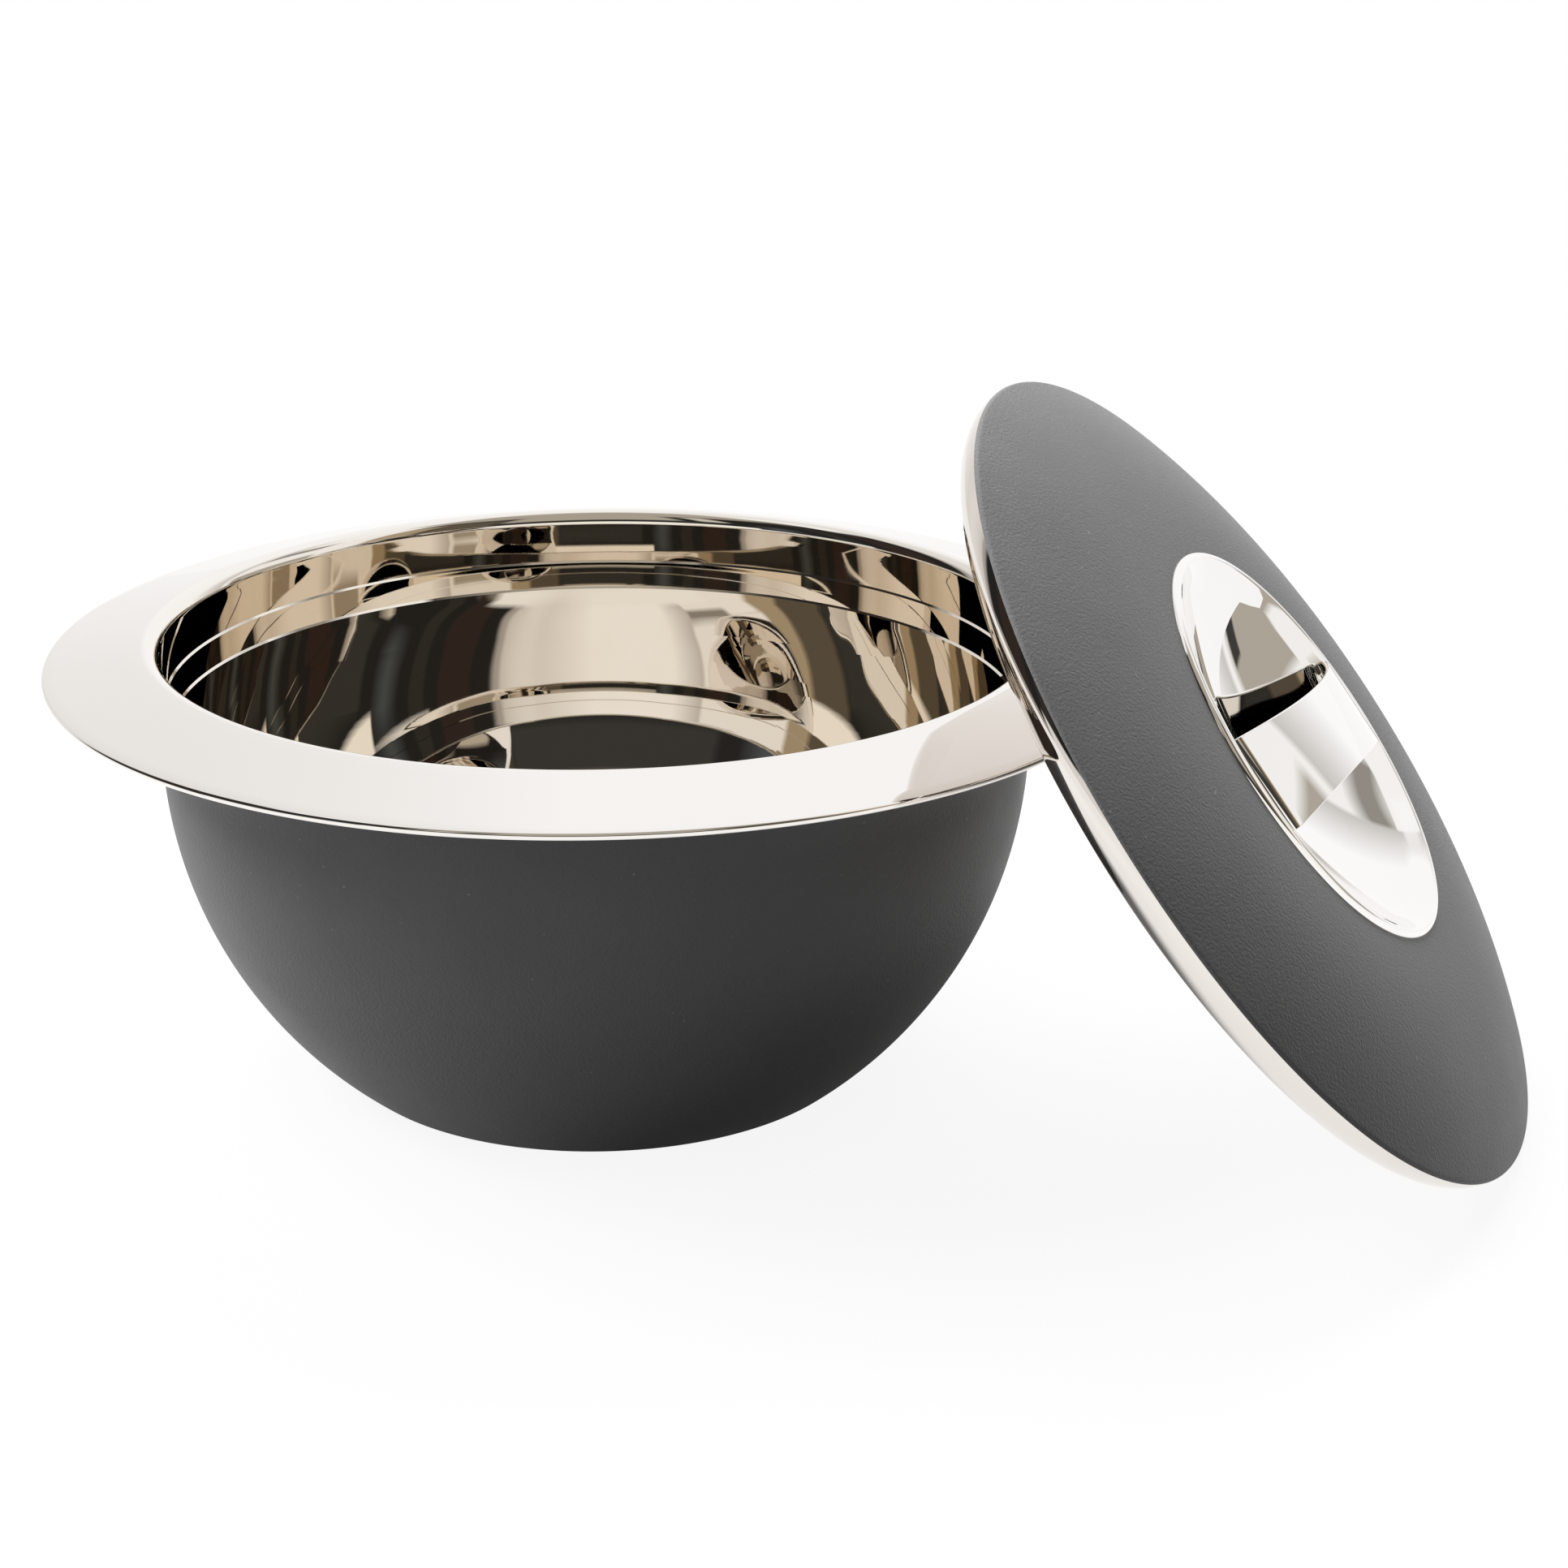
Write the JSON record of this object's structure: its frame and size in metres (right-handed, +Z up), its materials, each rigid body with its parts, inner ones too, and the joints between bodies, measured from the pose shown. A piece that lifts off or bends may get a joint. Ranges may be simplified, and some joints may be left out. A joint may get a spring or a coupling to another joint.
{
  "type": "insulated serving bowl with lid",
  "caption": "Double-walled steel bowl with a sloping rim flange, and a domed insulated lid with a strap handle over a dished recess, taken off and leaned on the rim.",
  "frame": {"origin": "middle of the bowl's base, on the surface that it stands on", "axes": "+Z up along the bowl's axis; the lid leans on the rim on the +X side, turned a little towards -Y; +Y points away from the picture's camera"},
  "size_m": [0.4077, 0.3233, 0.1946],
  "materials": {
    "polished": "polished",
    "plain_steel": "satin",
    "coat": "satin",
    "silicone": "matte",
    "foam": "matte"
  },
  "bodies": {
    "bowl": {"outer_shell": "coat", "inner_bowl": "polished", "bowl_insulation": "foam", "rim_seal": "silicone", "base_pad": "silicone"},
    "lid": {"lid_top_shell": "coat", "lid_under_shell": "polished", "lid_insulation": "foam", "handle_dish": "polished", "handle_strap": "polished", "dish_clamp_ring": "plain_steel", "dish_studs": "plain_steel", "dish_nuts": "plain_steel"}
  },
  "joints": [
    {"name": "lid_lift", "type": "slide", "parent": "bowl", "child": "lid", "axis": [0.7413, -0.2688, 0.615], "range_m": [0, 0.15]}
  ]
}
